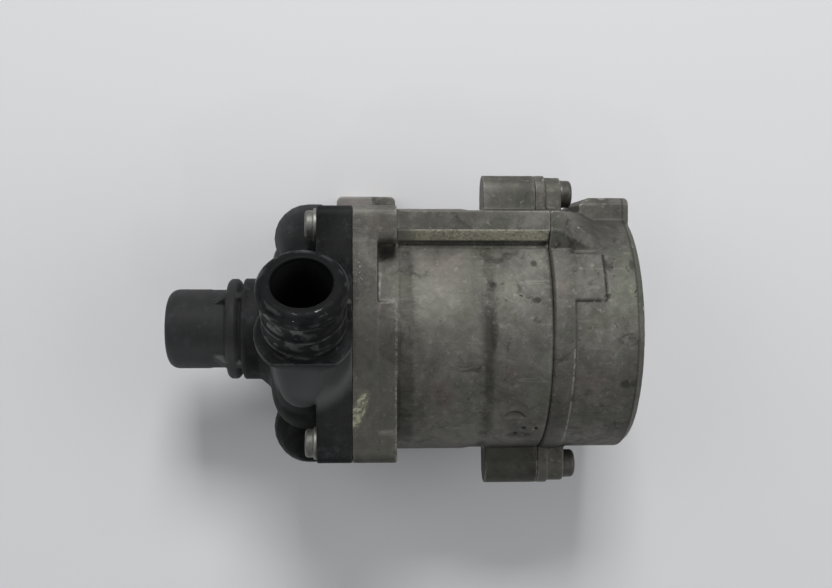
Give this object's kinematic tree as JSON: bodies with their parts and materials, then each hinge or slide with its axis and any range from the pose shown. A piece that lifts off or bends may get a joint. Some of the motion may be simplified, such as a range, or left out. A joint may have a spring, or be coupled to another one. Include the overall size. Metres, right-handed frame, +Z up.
{
  "type": "water pump",
  "caption": "Electric coolant pump: plastic scroll casing with axial inlet and leaning outlet on a round cast motor housing with rear electronics cover.",
  "frame": {"origin": "centre of the inlet mouth, on the shaft line", "axes": "+X along the shaft from the inlet to the electronics end, +Z up from the feet, +Y to the side the connector faces; the outlet leans from +Z toward +Y"},
  "size_m": [0.1828, 0.1254, 0.1348],
  "materials": {
    "black_plastic": "moulded, satin, wiped with coolant",
    "impeller_plastic": "moulded, smooth",
    "inner_plastic": "moulded, matt",
    "bobbin_plastic": "moulded, matt",
    "connector_plastic": "moulded, matt",
    "chip_plastic": "moulded, matt",
    "seal_rubber": "smooth",
    "cast_aluminium": "die-cast, dull, stained and pitted",
    "cover_aluminium": "die-cast, dull, stained",
    "plate_aluminium": "machined",
    "zinc_steel": "zinc plated, dulled",
    "dull_steel": "oxidised",
    "ground_steel": "ground",
    "lamination_steel": "stamped sheets",
    "magnet": "nickel grey, matt",
    "carbon": "lapped carbon",
    "copper_wire": "enamelled copper",
    "contact_brass": "plated",
    "board_laminate": "solder mask",
    "capacitor_can": "sleeved",
    "ferrite": "wound and lacquered"
  },
  "bodies": {
    "housing": {"volute_housing": "black_plastic", "volute_seal": "seal_rubber", "volute_screws": "zinc_steel", "bearing_carrier": "inner_plastic", "front_bearing": "carbon", "front_thrust_washer": "ground_steel", "rear_bearing": "carbon", "rear_thrust_washer": "ground_steel", "containment_can": "inner_plastic", "can_seal": "seal_rubber", "stator_core": "lamination_steel", "stator_bobbins": "bobbin_plastic", "stator_windings": "copper_wire", "phase_leads": "copper_wire", "motor_housing": "cast_aluminium", "heat_plate": "plate_aluminium", "circuit_board": "board_laminate", "board_screws": "zinc_steel", "power_transistors": "chip_plastic", "capacitors": "capacitor_can", "filter_choke": "ferrite", "motor_controller_chip": "chip_plastic", "cover_seal": "seal_rubber", "rear_cover": "cover_aluminium", "cover_screws": "dull_steel", "connector_socket": "connector_plastic", "connector_pins": "contact_brass"},
    "rotor": {"shaft": "ground_steel", "impeller": "impeller_plastic", "impeller_cover": "impeller_plastic", "impeller_nut": "zinc_steel", "rotor_core": "lamination_steel", "rotor_magnets": "magnet", "rotor_sleeve": "ground_steel", "rotor_end_plates": "ground_steel"}
  },
  "joints": [
    {"name": "rotor_spin", "type": "hinge", "parent": "housing", "child": "rotor", "pos_m": [0.09, 0, 0], "axis": [-1, 0, 0], "continuous": true}
  ]
}
